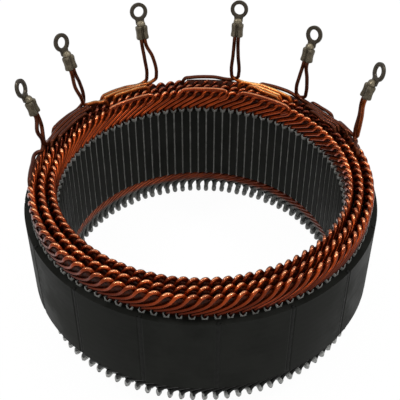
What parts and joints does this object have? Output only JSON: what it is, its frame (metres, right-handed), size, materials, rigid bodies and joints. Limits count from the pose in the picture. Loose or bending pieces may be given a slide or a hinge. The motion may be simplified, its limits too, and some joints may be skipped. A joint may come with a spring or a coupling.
{
  "type": "wound stator",
  "caption": "Wound alternator stator: a ring of slotted steel laminations filled with rows of copper hairpins, resin-dipped welded ends below and phase leads with ring terminals above.",
  "frame": {"origin": "middle of the lamination stack on the bore axis", "axes": "+Z along the bore axis towards the phase leads, +X through the middle of a slot"},
  "size_m": [0.138, 0.1371, 0.094],
  "materials": {
    "lamination": "dark varnish, satin",
    "varnished_legs": "grey dip resin",
    "copper": "enamelled copper, glossy",
    "lead_wire": "dark enamelled copper",
    "terminal": "tarnished bronze"
  },
  "bodies": {
    "root": {"lamination_stack": "lamination", "leg_packs": "varnished_legs", "outer_hairpins": "copper", "middle_hairpins": "copper", "inner_hairpins": "copper", "link_wire_1": "copper", "link_wire_2": "copper", "link_wire_3": "copper", "phase_lead_1": "lead_wire", "phase_lead_2": "lead_wire", "phase_lead_3": "lead_wire", "phase_lead_4": "lead_wire", "phase_lead_5": "lead_wire", "phase_lead_6": "lead_wire", "ring_terminal_1": "terminal", "ring_terminal_2": "terminal", "ring_terminal_3": "terminal", "ring_terminal_4": "terminal", "ring_terminal_5": "terminal", "ring_terminal_6": "terminal"}
  },
  "joints": []
}
